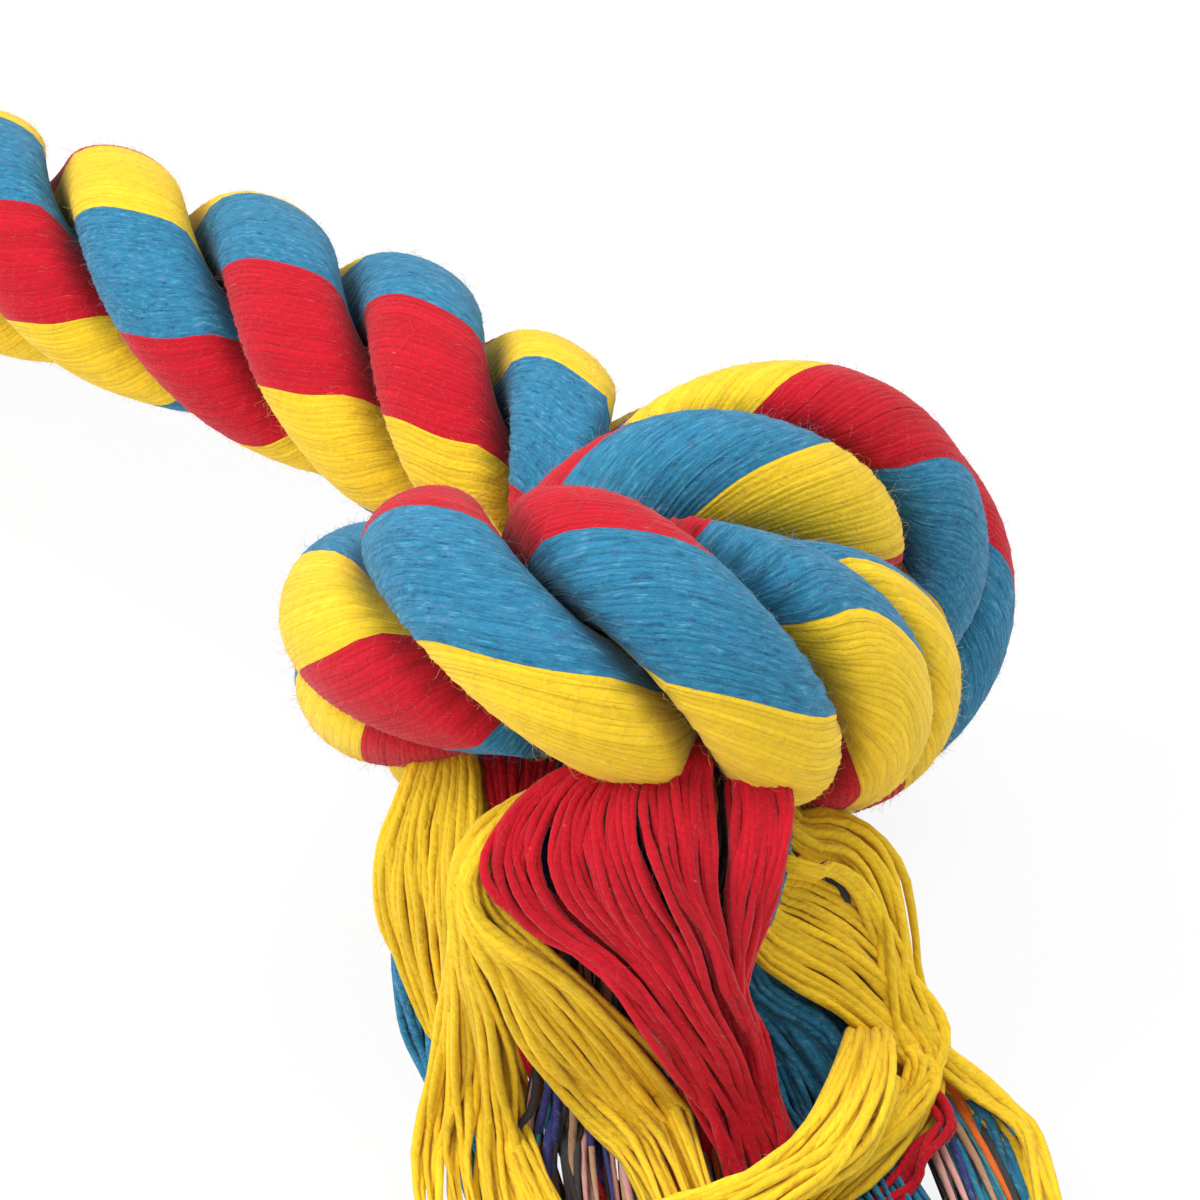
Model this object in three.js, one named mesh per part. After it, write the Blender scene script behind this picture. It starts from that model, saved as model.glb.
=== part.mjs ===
// Rope dog toy: three laid strands, an overhand knot at each end, and a tassel of loose yarn beyond it.
// Millimetres, +Z up. The rope runs along X with its middle over the origin, and both knots lie on z = 0.
import * as THREE from "three";

// The rope
const ropeDiameter = 25; // over the three strands
const layLength = 62; // one whole turn of a strand about the rope
const knottedShare = 0.92; // how much of its diameter the rope keeps where a knot draws it in
const strandRadius = 0.22 * ropeDiameter; // a strand before its neighbours flatten it
const helixRadius = ropeDiameter / 2 - strandRadius; // rope axis to strand axis
const strandGap = 0.6; // left between two strands, or two passes of the rope, that press on each other
const cutGap = 0.3; // left between two lengths of one strand
const leastReach = 0.2; // strand axis to surface at the least
const ownStretch = 1.6 * ropeDiameter; // how much of its own strand doesn't press on a point, each way

// Lengths measured along the rope from its middle
const middleEnd = 20; // where the straight middle ends and the bending neck starts
const neckEnd = 76; // where the neck ends and the knot starts
const squeezeLength = 24; // over which the rope narrows as it enters a knot
const tailLength = 7; // the last stretch of the route, already opened into locks

// The tassel
const yarnDiameter = 0.82; // a loose yarn
const lockGap = 1.1; // left between two locks that lie together
const lockSpread = 2.7; // strand axis to the axis of a coloured lock where the strand opens
const lockStart = 4.4; // width of a lock where it leaves its strand
const lockStraight = 4; // how far a lock goes straight out of its strand
const thinnest = 2.6; // thickness of a lock where its yarns lie side by side

// Facets
const strandSides = 10;
const stationStep = layLength / 14;
const lockStations = 14;
const ballsPerLock = 40; // along a lock
const ballStep = 2; // along a strand

// Half of the rope's route, from its middle to the mouth of the right-hand knot, chosen by hand as
// [x, y, z, roll], with the roll in degrees that the knot turns the lay by. The other half is this one turned
// half a turn about Z. A uniform cubic B-spline follows the points.
const route = [
  [0, 0, 28, 0],
  [12, 0, 29, 14],
  [23, 0, 30, 22],
  [34, 0, 31, 25],
  [45, 0, 31.5, 25],
  [56, 0, 32, 25],
  [67, -0.5, 32, 25],
  [78, -1.5, 32, 25],
  [89, -3, 32, 27],
  [100, -4, 31, 45],
  [111, -6.5, 29, 95],
  [121, -11, 25.5, 148],
  [132, -12.7, 26, 200],
  [138.8, -17.5, 33.8, 248],
  [140.8, -27, 41.2, 290],
  [139.8, -37.1, 47, 325],
  [131.8, -44.2, 51.3, 348],
  [121.5, -45, 49.5, 369],
  [112.5, -44.2, 43.5, 386],
  [105.8, -38.9, 36, 391],
  [102, -31.2, 29, 384],
  [100, -24, 20, 370],
  [101, -16, 12.2, 355],
  [106, -8.5, 7.2, 340],
  [114.5, -1.5, 6, 328],
  [123.5, 4.5, 11.5, 316],
  [129, 7.5, 21.5, 318],
  [128.5, 6.5, 32, 330],
  [126.5, 0, 39.8, 342],
  [125.5, -10, 45.3, 354],
  [120.8, -20, 45.7, 364],
  [119, -26.8, 38.5, 357],
  [122.5, -31.5, 30, 324],
  [131.5, -37, 26, 279],
];

// Routes of the loose locks of the right-hand tassel after they leave their strand, by hand, as
// [x, y, z, width]. Each tail is one opened strand: left, centre and right as seen from before the tassel.
const lockRoutes = {
  left: {
    yellow: [
      [116, -40, 32, 4], [119, -50, 27, 9], [120, -52, 17, 9],
      [126, -57, 10, 6], [135, -64, 8, 6], [151, -75, 7, 7],
    ],
    red: [
      [121, -40, 33, 5], [125, -46, 27, 5], [128, -49, 18, 4],
      [133, -53, 9, 4], [140, -59, 3, 4], [156, -70, 3, 5],
    ],
    blue: [
      [112, -37, 25, 4], [112, -44, 17, 4], [115, -51, 9, 5],
      [122, -57, 4, 5], [130, -64, 3, 5], [145, -76, 3, 6],
    ],
    core: [
      [116, -37, 26, 4], [118, -43, 18, 4], [121, -48, 10, 4],
      [128, -54, 4, 4], [135, -61, 3, 4], [151, -73, 3, 5],
    ],
  },
  centre: {
    yellow: [
      [127, -42, 38, 4], [130, -53, 37, 4], [131, -58, 29, 6],
      [135, -59, 19, 13], [141, -63, 11, 15], [158, -74, 9, 16],
    ],
    red: [
      [131, -39, 38, 11], [140, -47, 37, 18], [142, -51, 29, 17],
      [147, -51, 20, 10], [153, -53, 12, 9], [167, -62, 9, 10],
    ],
    blue: [
      [135, -33, 34, 5], [142, -37, 31, 5], [145, -41, 23, 5],
      [150, -42, 13, 6], [157, -45, 6, 7], [173, -55, 4, 7],
    ],
    core: [
      [131, -37, 35, 9], [136, -42, 31, 14], [138, -45, 22, 14],
      [142, -49, 12, 12], [147, -54, 4, 12], [162, -65, 3, 12],
    ],
  },
  right: {
    yellow: [
      [133, -28, 31, 5], [144, -30, 27, 7], [151, -30, 21, 8],
      [157, -30, 14, 7], [166, -34, 10, 6], [180, -45, 9, 6],
    ],
    core: [
      [131, -28, 26, 4], [139, -31, 20, 5], [146, -33, 13, 6],
      [153, -36, 7, 6], [162, -41, 3, 6], [177, -50, 3, 6],
    ],
    red: [
      [129, -25.5, 22, 3], [137, -27, 15, 3], [144, -28, 10, 3],
      [152, -31, 5, 3], [163, -36, 3, 3], [179, -46, 3, 3],
    ],
    blue: [
      [128, -20, 20, 4], [137, -21, 13, 5], [146, -24, 9, 5],
      [155, -27, 4, 5], [164, -31, 3, 6], [181, -42, 3, 6],
    ],
  },
};
const lockYarns = {
  left: { yellow: 46, red: 18, blue: 28, core: 26 },
  centre: { yellow: 50, red: 76, blue: 44, core: 72 },
  right: { yellow: 64, core: 34, red: 7, blue: 40 },
};
const tailOfStrand = { right: ["centre", "left", "right"], left: ["centre", "right", "left"] };
// Place of each colour about its strand where it opens, in degrees from straight out of the rope. The core
// starts on the strand's own axis.
const lockTurn = {
  left: { yellow: 280, red: 160, blue: 40 },
  centre: { yellow: 120, red: 0, blue: 240 },
  right: { yellow: 120, red: 240, blue: 0 },
};

const radians = Math.PI / 180;
const vec = (p) => new THREE.Vector3(p[0], p[1], p[2]);

// A uniform cubic B-spline of points of any dimension, with `per` steps in each span.
function bSpline(points, per) {
  const out = [];
  for (let i = 0; i + 3 < points.length; i++) {
    const last = i + 4 === points.length;
    for (let j = 0; j < per + (last ? 1 : 0); j++) {
      const t = j / per;
      const w = [(1 - t) ** 3, 3 * t ** 3 - 6 * t * t + 4, -3 * t ** 3 + 3 * t * t + 3 * t + 1, t ** 3];
      out.push(points[i].map((_, c) => w.reduce((sum, v, n) => sum + (v * points[i + n][c]) / 6, 0)));
    }
  }
  return out;
}

// The rope's axis from one mouth to the other, with a frame that never turns about it.
const turned = ([x, y, z, roll]) => [-x, -y, z, -roll];
const dense = bSpline([...route.slice(1).reverse().map(turned), ...route], 24);
const mid = (dense.length - 1) / 2;
const axis = dense.map((p) => ({ at: vec(p), roll: p[3] }));
axis.forEach((a, i) => {
  const before = axis[Math.max(i - 1, 0)].at;
  const after = axis[Math.min(i + 1, axis.length - 1)].at;
  a.tangent = after.clone().sub(before).normalize();
});
axis[mid].s = 0;
axis[mid].normal = new THREE.Vector3(0, 0, 1);
for (const way of [1, -1]) {
  for (let i = mid + way; axis[i]; i += way) {
    const a = axis[i];
    const b = axis[i - way];
    a.s = b.s + way * a.at.distanceTo(b.at);
    const turn = new THREE.Quaternion().setFromUnitVectors(b.tangent, a.tangent);
    a.normal = b.normal.clone().applyQuaternion(turn);
    a.normal.addScaledVector(a.tangent, -a.normal.dot(a.tangent)).normalize();
  }
}
const ropeEnd = axis[axis.length - 1].s - tailLength; // where the strands open

function axisAt(s) {
  let low = 0;
  let high = axis.length - 1;
  while (high - low > 1) {
    const half = (low + high) >> 1;
    if (axis[half].s <= s) low = half;
    else high = half;
  }
  const a = axis[low];
  const b = axis[high];
  const t = (s - a.s) / (b.s - a.s);
  const tangent = a.tangent.clone().lerp(b.tangent, t).normalize();
  const normal = a.normal.clone().lerp(b.normal, t);
  normal.addScaledVector(tangent, -normal.dot(tangent)).normalize();
  const side = new THREE.Vector3().crossVectors(tangent, normal);
  return { at: a.at.clone().lerp(b.at, t), tangent, normal, side, roll: a.roll + (b.roll - a.roll) * t };
}

const shareAt = (s) =>
  1 - (1 - knottedShare) * THREE.MathUtils.smoothstep(Math.abs(s), neckEnd, neckEnd + squeezeLength);
const strandAngle = (k, s, roll) => (120 * k + (360 * s) / layLength + roll) * radians;
const across = (f, angle) =>
  f.normal.clone().multiplyScalar(Math.cos(angle)).addScaledVector(f.side, Math.sin(angle));

function strandAt(k, s) {
  const f = axisAt(s);
  return f.at.clone().addScaledVector(across(f, strandAngle(k, s, f.roll)), helixRadius * shareAt(s));
}

// Every strand and lock as balls along its axis: what a surface point gives way to.
const balls = [];
for (let k = 0; k < 3; k++)
  for (let s = -ropeEnd; s <= ropeEnd; s += ballStep)
    balls.push({ at: strandAt(k, s), radius: strandRadius * shareAt(s), owner: "strand" + k, s });

// How far a point may go from `from` along `way` before it meets the plane shared with a neighbour.
function reach(from, way, radius, limit, gap, skip) {
  let most = limit;
  for (const ball of balls) {
    if (skip(ball)) continue;
    const off = ball.at.clone().sub(from);
    const far = off.length();
    if (far > 2.6 * limit + ball.radius) continue; // too far off to matter
    const lean = way.dot(off) / far;
    if (lean <= 0.02) continue;
    const plane = (far * radius) / (radius + ball.radius) - gap / 2;
    most = Math.min(most, Math.max(plane, leastReach) / lean);
  }
  return most;
}

function toFloor(from, way, length) {
  const point = from.clone().addScaledVector(way, length);
  if (point.z < 0) point.copy(from).addScaledVector(way, -from.z / way.z).setZ(0);
  return point;
}

// A closed tube through rings of points, each with its own centre for the two end caps.
function tube(name, rings, material) {
  const sides = rings[0].points.length;
  const positions = [];
  const push = (p) => positions.push(p.x, p.y, p.z);
  rings.forEach((ring) => ring.points.forEach(push));
  push(rings[0].centre);
  push(rings[rings.length - 1].centre);
  const first = rings.length * sides;
  const index = [];
  for (let j = 0; j < sides; j++) {
    const next = (j + 1) % sides;
    index.push(first, next, j);
    index.push(first + 1, first - sides + j, first - sides + next);
    for (let i = 0; i + 1 < rings.length; i++) {
      const a = i * sides;
      const b = a + sides;
      index.push(a + j, a + next, b + next, a + j, b + next, b + j);
    }
  }
  const geometry = new THREE.BufferGeometry();
  geometry.setAttribute("position", new THREE.Float32BufferAttribute(positions, 3));
  geometry.setIndex(index);
  geometry.computeVertexNormals();
  const mesh = new THREE.Mesh(geometry, material);
  mesh.name = name;
  toy.add(mesh);
}

function strandRing(k, s) {
  const f = axisAt(s);
  const centre = strandAt(k, s);
  const along = strandAt(k, s + 0.5).sub(strandAt(k, s - 0.5)).normalize();
  const radius = strandRadius * shareAt(s);
  const skip = (ball) => ball.owner === "strand" + k && Math.abs(ball.s - s) < ownStretch;
  const points = [];
  for (let j = 0; j < strandSides; j++) {
    const way = across(f, (2 * Math.PI * j) / strandSides);
    const slant = Math.sqrt(Math.max(1 - way.dot(along) ** 2, 0.45)); // an oblique cut of a round strand
    points.push(toFloor(centre, way, reach(centre, way, radius, radius / slant, strandGap, skip)));
  }
  return { points, centre };
}

function strandLength(name, k, from, to, material) {
  const count = Math.max(2, Math.round((to - from - cutGap) / stationStep));
  const rings = [];
  for (let i = 0; i <= count; i++)
    rings.push(strandRing(k, from + cutGap / 2 + ((to - from - cutGap) * i) / count));
  tube(name, rings, material);
}

// A lock's axis: it leaves its strand's end beside the strand's axis and follows its own route.
function lockAxis(side, k, colour) {
  const way = side === "right" ? 1 : -1;
  const s = way * (ropeEnd + cutGap / 2);
  const f = axisAt(s);
  const tail = tailOfStrand[side][k];
  const start = strandAt(k, s);
  if (colour !== "core") {
    const angle = strandAngle(k, s, f.roll) + way * lockTurn[tail][colour] * radians;
    start.addScaledVector(across(f, angle), lockSpread);
  }
  const out = f.tangent.clone().multiplyScalar(way);
  const own = lockRoutes[tail][colour];
  const places = own.map((p) => new THREE.Vector3(way * p[0], way * p[1], p[2]));
  const leaving = start.clone().addScaledVector(out, lockStraight);
  const curve = new THREE.CatmullRomCurve3([start, leaving, ...places]);
  const widths = [lockStart, lockStart, ...own.map((p) => p[3])];
  const area = lockYarns[tail][colour] * yarnDiameter ** 2;
  return { side, k, colour, curve, out, widths, area, owner: [side, k, colour].join() };
}

// A slice of a lock at t from 0 to 1. Its yarns lie side by side and pile up where it is narrow.
function lockSlice(lock, t) {
  const centre = lock.curve.getPointAt(t);
  const along = t === 0 ? lock.out : lock.curve.getTangentAt(t);
  const up = new THREE.Vector3(0, 0, 1).addScaledVector(along, -along.z).normalize();
  const beside = new THREE.Vector3().crossVectors(along, up);
  const at = lock.curve.getUtoTmapping(t) * (lock.widths.length - 1);
  const i = Math.min(Math.floor(at), lock.widths.length - 2);
  const width = lock.widths[i] + (lock.widths[i + 1] - lock.widths[i]) * (at - i);
  const thickness = Math.min(Math.max(lock.area / width, thinnest), width);
  return { centre, up, beside, radius: thickness / 2, offset: (width - thickness) / 2 };
}

// A lock's cross-section: two half rounds and the flats between them, as [place across, degrees].
const lockProfile = [[1, 0], [1, 300], [0, 270], [-1, 240], [-1, 180], [-1, 120], [0, 90], [1, 60]];
function lockRing(lock, t) {
  const { centre, up, beside, radius, offset } = lockSlice(lock, t);
  const skip = (ball) => ball.owner === lock.owner || (t < 0.12 && ball.owner === "strand" + lock.k);
  const points = lockProfile.map(([place, degrees]) => {
    const from = centre.clone().addScaledVector(beside, place * offset);
    const angle = degrees * radians;
    const way = beside.clone().multiplyScalar(Math.cos(angle)).addScaledVector(up, Math.sin(angle));
    return toFloor(from, way, reach(from, way, radius, radius, lockGap, skip));
  });
  return { points, centre };
}

const cotton = (colour) => new THREE.MeshStandardMaterial({ color: colour, roughness: 0.9, metalness: 0 });
const striped = cotton(0x9a6a4e);
const yarn = {
  red: cotton(0xc81424),
  yellow: cotton(0xf4c82a),
  blue: cotton(0x2f80a6),
  core: cotton(0x5a5452),
};

const toy = new THREE.Group();
toy.name = "rope_dog_toy";

const locks = [];
for (const side of ["right", "left"])
  for (let k = 0; k < 3; k++)
    for (const colour of ["yellow", "red", "blue", "core"]) locks.push(lockAxis(side, k, colour));
for (const lock of locks) {
  for (let i = 0; i <= ballsPerLock; i++) {
    const { centre, beside, radius, offset } = lockSlice(lock, i / ballsPerLock);
    const beyond = Math.ceil(offset / (1.5 * radius)); // balls on each side of the middle one
    for (let n = -beyond; n <= beyond; n++) {
      const at = centre.clone().addScaledVector(beside, beyond && (offset * n) / beyond);
      balls.push({ at, radius, owner: lock.owner });
    }
  }
}

for (let k = 0; k < 3; k++) {
  const name = "strand_" + (k + 1);
  strandLength(name + "_middle", k, -middleEnd, middleEnd, striped);
  strandLength(name + "_right_neck", k, middleEnd, neckEnd, striped);
  strandLength(name + "_right_knot", k, neckEnd, ropeEnd, striped);
  strandLength(name + "_left_neck", k, -neckEnd, -middleEnd, striped);
  strandLength(name + "_left_knot", k, -ropeEnd, -neckEnd, striped);
}
for (const lock of locks) {
  const rings = [];
  for (let i = 0; i <= lockStations; i++) rings.push(lockRing(lock, i / lockStations));
  tube(lock.side + "_tail_" + (lock.k + 1) + "_" + lock.colour, rings, yarn[lock.colour]);
}

export default toy;
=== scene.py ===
import bpy
import numpy as np
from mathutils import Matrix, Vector


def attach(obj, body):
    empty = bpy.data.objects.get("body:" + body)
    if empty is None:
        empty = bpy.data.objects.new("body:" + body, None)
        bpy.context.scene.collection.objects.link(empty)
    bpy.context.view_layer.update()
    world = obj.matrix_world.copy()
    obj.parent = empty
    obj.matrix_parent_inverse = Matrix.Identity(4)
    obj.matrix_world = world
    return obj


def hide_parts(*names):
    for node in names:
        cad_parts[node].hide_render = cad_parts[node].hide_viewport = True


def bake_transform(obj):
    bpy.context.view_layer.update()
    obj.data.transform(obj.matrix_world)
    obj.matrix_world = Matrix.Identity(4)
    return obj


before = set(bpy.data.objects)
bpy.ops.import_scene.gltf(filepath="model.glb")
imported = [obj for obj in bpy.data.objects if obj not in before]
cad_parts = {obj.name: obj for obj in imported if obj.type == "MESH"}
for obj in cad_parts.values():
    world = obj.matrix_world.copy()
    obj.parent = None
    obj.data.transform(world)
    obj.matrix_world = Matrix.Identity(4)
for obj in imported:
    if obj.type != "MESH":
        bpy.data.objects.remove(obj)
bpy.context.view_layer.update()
rng = np.random.default_rng(11)
mm = 0.001  # a millimetre, in metres
print("frame loaded:", len(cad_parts), "nodes")

# Camera, at the photographed angle: low enough to look under the front pass of the knot
cameraPlace = {
    "at": (0.2801, -0.2366, 0.2245),
    "target": (0.1155, -0.0222, 0.0352),
    "lens": 110,  # millimetres
    "sensor": 36,
    "photo": 1200,  # the width and height of the photo, in pixels
}


def makeCamera():
    camera = bpy.data.objects.new("camera", bpy.data.cameras.new("camera"))
    bpy.context.scene.collection.objects.link(camera)
    at = Vector(cameraPlace["at"])
    camera.location = at
    camera.rotation_euler = (Vector(cameraPlace["target"]) - at).to_track_quat("-Z", "Y").to_euler()
    camera.data.lens = cameraPlace["lens"]
    camera.data.sensor_width = cameraPlace["sensor"]
    bpy.context.scene.camera = camera


makeCamera()

# The rope: three strands laid right-handed, each a bundle of yarns in three colours
rope = {
    "diameter": 0.025,
    "strands": 3,
    "lay": 0.062,
    "strandShare": 0.255,  # a strand's radius against the rope's diameter
    "knottedShare": 0.92,  # what a knot leaves of the diameter
    "squeeze": (0.076, 0.100),  # where the rope narrows, measured from the middle
    "tail": 0.007,  # the last stretch of the route, opened into yarns
    "yarns": 66,
    "colourStart": (344, 321, 93),  # degrees, where blue starts round each strand
    # Degrees the colours turn round the strands beyond the lay, against metres from the rope's middle
    "colourTurn": (
        (0, 0),
        (0.100, -140),
        (0.156, -203),
        (0.175, -240),
        (0.204, -286),
        (0.250, -345),
        (0.305, -398),
        (0.317, -425),
        (0.350, -490),
    ),
    # The same for each strand alone, where the knot twists it
    "ownTurn": (
        ((0.166, 0), (0.171, 20), (0.178, 0)),
        ((0.128, 0), (0.146, -70), (0.152, -45), (0.158, 10), (0.163, 24), (0.172, 0),
         (0.300, 0), (0.313, 34), (0.335, 26)),
        ((0.106, 0), (0.140, -236), (0.143, -236), (0.152, -165), (0.177, 0)),
    ),
    "easeOver": 0.010,  # the stretch that rounds a corner of those tables
    "perSpan": 24,  # steps of the centre line between two points of the route
}

# Half of the rope's route, from its middle to the mouth of the right-hand knot: x, y, z in metres, and the
# roll in degrees that the knot turns the lay by. The other half is this one turned half a turn about Z.
route = np.array([
    (0, 0, 0.028, 0),
    (0.012, 0, 0.029, 14),
    (0.023, 0, 0.030, 22),
    (0.034, 0, 0.031, 25),
    (0.045, 0, 0.0315, 25),
    (0.056, 0, 0.032, 25),
    (0.067, -0.0005, 0.032, 25),
    (0.078, -0.0015, 0.032, 25),
    (0.089, -0.003, 0.032, 27),
    (0.100, -0.004, 0.031, 45),
    (0.111, -0.0065, 0.029, 95),
    (0.121, -0.011, 0.0255, 148),
    (0.132, -0.0127, 0.026, 200),
    (0.1388, -0.0175, 0.0338, 248),
    (0.1408, -0.027, 0.0412, 290),
    (0.1398, -0.0371, 0.047, 325),
    (0.1318, -0.0442, 0.0513, 348),
    (0.1215, -0.045, 0.0495, 369),
    (0.1125, -0.0442, 0.0435, 386),
    (0.1058, -0.0389, 0.036, 391),
    (0.102, -0.0312, 0.029, 384),
    (0.100, -0.024, 0.020, 370),
    (0.101, -0.016, 0.0122, 355),
    (0.106, -0.0085, 0.0072, 340),
    (0.1145, -0.0015, 0.006, 328),
    (0.1235, 0.0045, 0.0115, 316),
    (0.129, 0.0075, 0.0215, 318),
    (0.1285, 0.0065, 0.032, 330),
    (0.1265, 0, 0.0398, 342),
    (0.1255, -0.010, 0.0453, 354),
    (0.1208, -0.020, 0.0457, 364),
    (0.119, -0.0268, 0.0385, 357),
    (0.1225, -0.0315, 0.030, 324),
    (0.1315, -0.037, 0.026, 279),
])


def splineThrough(points, perSpan):
    # Uniform cubic B-spline: each span blends four neighbours by (1-t)^3, 3t^3-6t^2+4, -3t^3+3t^2+3t+1 and
    # t^3, over six, and the last point is the last span's end
    t = np.arange(perSpan) / perSpan
    weights = np.stack([(1 - t) ** 3, 3 * t**3 - 6 * t**2 + 4, -3 * t**3 + 3 * t**2 + 3 * t + 1, t**3]) / 6
    spans = np.stack([points[i : len(points) - 3 + i] for i in range(4)])
    line = np.einsum("kt,ksc->stc", weights, spans).reshape(-1, points.shape[1])
    return np.vstack([line, (points[-3] + 4 * points[-2] + points[-1]) / 6])


def unit(v):
    return v / np.maximum(np.linalg.norm(v, axis=-1, keepdims=True), 1e-12)


def makeAxis():
    # The rope's centre line from one mouth to the other, with a normal carried along it by the least turn
    # from each tangent a to the next b: v - (a+b)(a+b).v/(1+a.b) + 2b(a.v)
    otherHalf = route[:0:-1] * np.array([-1, -1, 1, -1])
    line = splineThrough(np.vstack([otherHalf, route]), rope["perSpan"])
    at = line[:, :3]
    tangent = unit(np.gradient(at, axis=0))
    middle = len(at) // 2
    normal = np.zeros_like(at)
    normal[middle] = (0, 0, 1)
    for way in (1, -1):
        for i in range(middle + way, len(at) if way > 0 else -1, way):
            a, b, v = tangent[i - way], tangent[i], normal[i - way]
            normal[i] = v - (a + b) * ((a + b) @ v) / (1 + a @ b) + 2 * b * (a @ v)
    length = np.concatenate([[0], np.cumsum(np.linalg.norm(np.diff(at, axis=0), axis=1))])
    return {
        "s": length - length[middle],
        "at": at,
        "tangent": tangent,
        "normal": unit(normal),
        "roll": line[:, 3],
    }


axis = makeAxis()
ropeEnd = axis["s"][-1] - rope["tail"]


def axisAt(s, what):
    return np.stack([np.interp(s, axis["s"], column) for column in axis[what].T], -1)


def shareAt(s):
    low, high = rope["squeeze"]
    t = np.clip((np.abs(s) - low) / (high - low), 0, 1)
    return 1 - (1 - rope["knottedShare"]) * t * t * (3 - 2 * t)


def strandRadius(s):
    return rope["diameter"] * rope["strandShare"] * shareAt(s)


def crossFrame(s):
    tangent = unit(axisAt(s, "tangent"))
    normal = axisAt(s, "normal")
    normal = unit(normal - tangent * (normal * tangent).sum(-1, keepdims=True))
    return normal, np.cross(tangent, normal)


def rollAt(s):
    return np.interp(s, axis["s"], axis["roll"])


def eased(table, place):
    # Straight lines through the table's points, with the corners rounded by a mean of nine places round each
    places, values = np.array(table).T
    half = rope["easeOver"] / 2
    near = np.abs(place)[..., None] + np.linspace(-half, half, 9)
    return np.interp(near, places, values).mean(-1)


def colourTurn(k, s):
    # A strand's own twist is as much against the lay as the lay is round the rope, so its yarns run along
    # the rope
    turn = eased(rope["colourTurn"], s) + eased(rope["ownTurn"][k], s)
    return np.sign(s) * turn - 360 * s / rope["lay"]


def strandCentre(k, s):
    # A helix about the rope's axis: the strands evenly apart, one turn a lay, plus the knot's roll
    normal, side = crossFrame(s)
    apart = 360 / rope["strands"]
    angle = np.radians(apart * k + 360 * s / rope["lay"] + rollAt(s))[..., None]
    helix = rope["diameter"] * (0.5 - rope["strandShare"]) * shareAt(s)[..., None]
    return axisAt(s, "at") + helix * (np.cos(angle) * normal + np.sin(angle) * side)


def drawWaves(terms, channels, shortest, longest):
    # Random lengths and phases for a few sines in each channel
    length = np.exp(rng.uniform(np.log(shortest), np.log(longest), (terms, 1, channels)))
    return length, rng.uniform(0, 2 * np.pi, (terms, 1, channels))


def waveSum(s, length, phase):
    # Smooth wandering: the sum of those sines over the root of their number, so about 1 high
    return np.sin(2 * np.pi * s[None, :, None] / length + phase).sum(0) / np.sqrt(len(length))


print("rope axis:", round(2 * ropeEnd, 4), "m between the mouths")

# Colours of the yarns, as linear light
palette = {
    "blue": (0.026, 0.195, 0.340),
    "red": (0.520, 0.007, 0.019),
    "yellow": (0.850, 0.565, 0.024),
    "charcoal": (0.055, 0.050, 0.052),
    "tan": (0.500, 0.300, 0.180),
    "teal": (0.060, 0.330, 0.330),
    "orange": (0.800, 0.170, 0.030),
    "pink": (0.700, 0.370, 0.330),
    "navy": (0.045, 0.045, 0.190),
}
strandColours = ("blue", "red", "yellow")

# What a material's nodes share
cotton = {
    "roughness": 0.85,
    "specular": 0.15,
    "sheen": 0.14,
    "sheenRoughness": 0.45,
    "groove": 0.68,  # painted shade: the light left between two yarns of a strand
    "plyPaintedShade": 0.88,  # and the painted shade between two plies of a loose yarn
    "plyHeight": 0.3,  # a ply's height in the bump
    "plyTurn": 0.55,  # plies passed in a millimetre along a loose yarn
    "grooveEdge": 0.42,  # the height in a groove at which its painted shade starts
    "paintedGrooveVaries": (0.3, 0.7, 0.25, 1.0),  # how the painted groove shade varies: noise from and to, groove from and to
    "mapName": "yarnMap",
    # the attribute holds a loose yarn's own colour, and the painted valley shade on a strand's skin
    "tintAndShadeName": "yarnTintAndPaintedShade",
    "streak": {"across": 2.2, "along": 0.5, "yarn": 5.3, "detail": 3.0, "roughness": 0.6},
    "fleck": {"across": 1.6, "along": 0.9, "yarn": 9.1, "detail": 4.0, "roughness": 0.75},
    "grain": {"scale": 2600.0, "detail": 3.0, "roughness": 0.6},
    "nap": {"scale": 1000.0, "detail": 3.0, "roughness": 0.7},
    "depth": {"scale": 260.0, "detail": 2.0, "roughness": 0.5},
    "shade": {"base": 0.50, "yarn": 0.16, "nap": 0.26, "streak": 0.38, "grain": 0.26},
    "height": {"streak": 0.6, "grain": 0.7, "nap": 1.1},
    "bump": {"strength": 0.7, "distance": 0.0002},
    # What blue is heathered with: the noise, its band from and to, the most it gives, the colour
    "heather": (
        ("fleck", 0.52, 0.70, 0.6, (0.13, 0.42, 0.56, 1)),
        ("fleck", 0.48, 0.32, 0.7, (0.012, 0.055, 0.13, 1)),
        ("streak", 0.55, 0.70, 0.4, (0.12, 0.20, 0.42, 1)),
    ),
    "heatherFrom": (0.05, 0.25),  # blue less red, where the heather starts and is full
    "lint": {"band": (0.70, 0.80, 0.0, 0.15), "colour": (0.85, 0.80, 0.74, 1)},
    "fibre": {
        "pale": 0.14,  # how far a fibre is paler than its yarn
        "paleColour": (0.9, 0.88, 0.84, 1),
        "roughness": 0.9,
        "specular": 0.1,
        "sheen": 0.2,
    },
}


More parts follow.
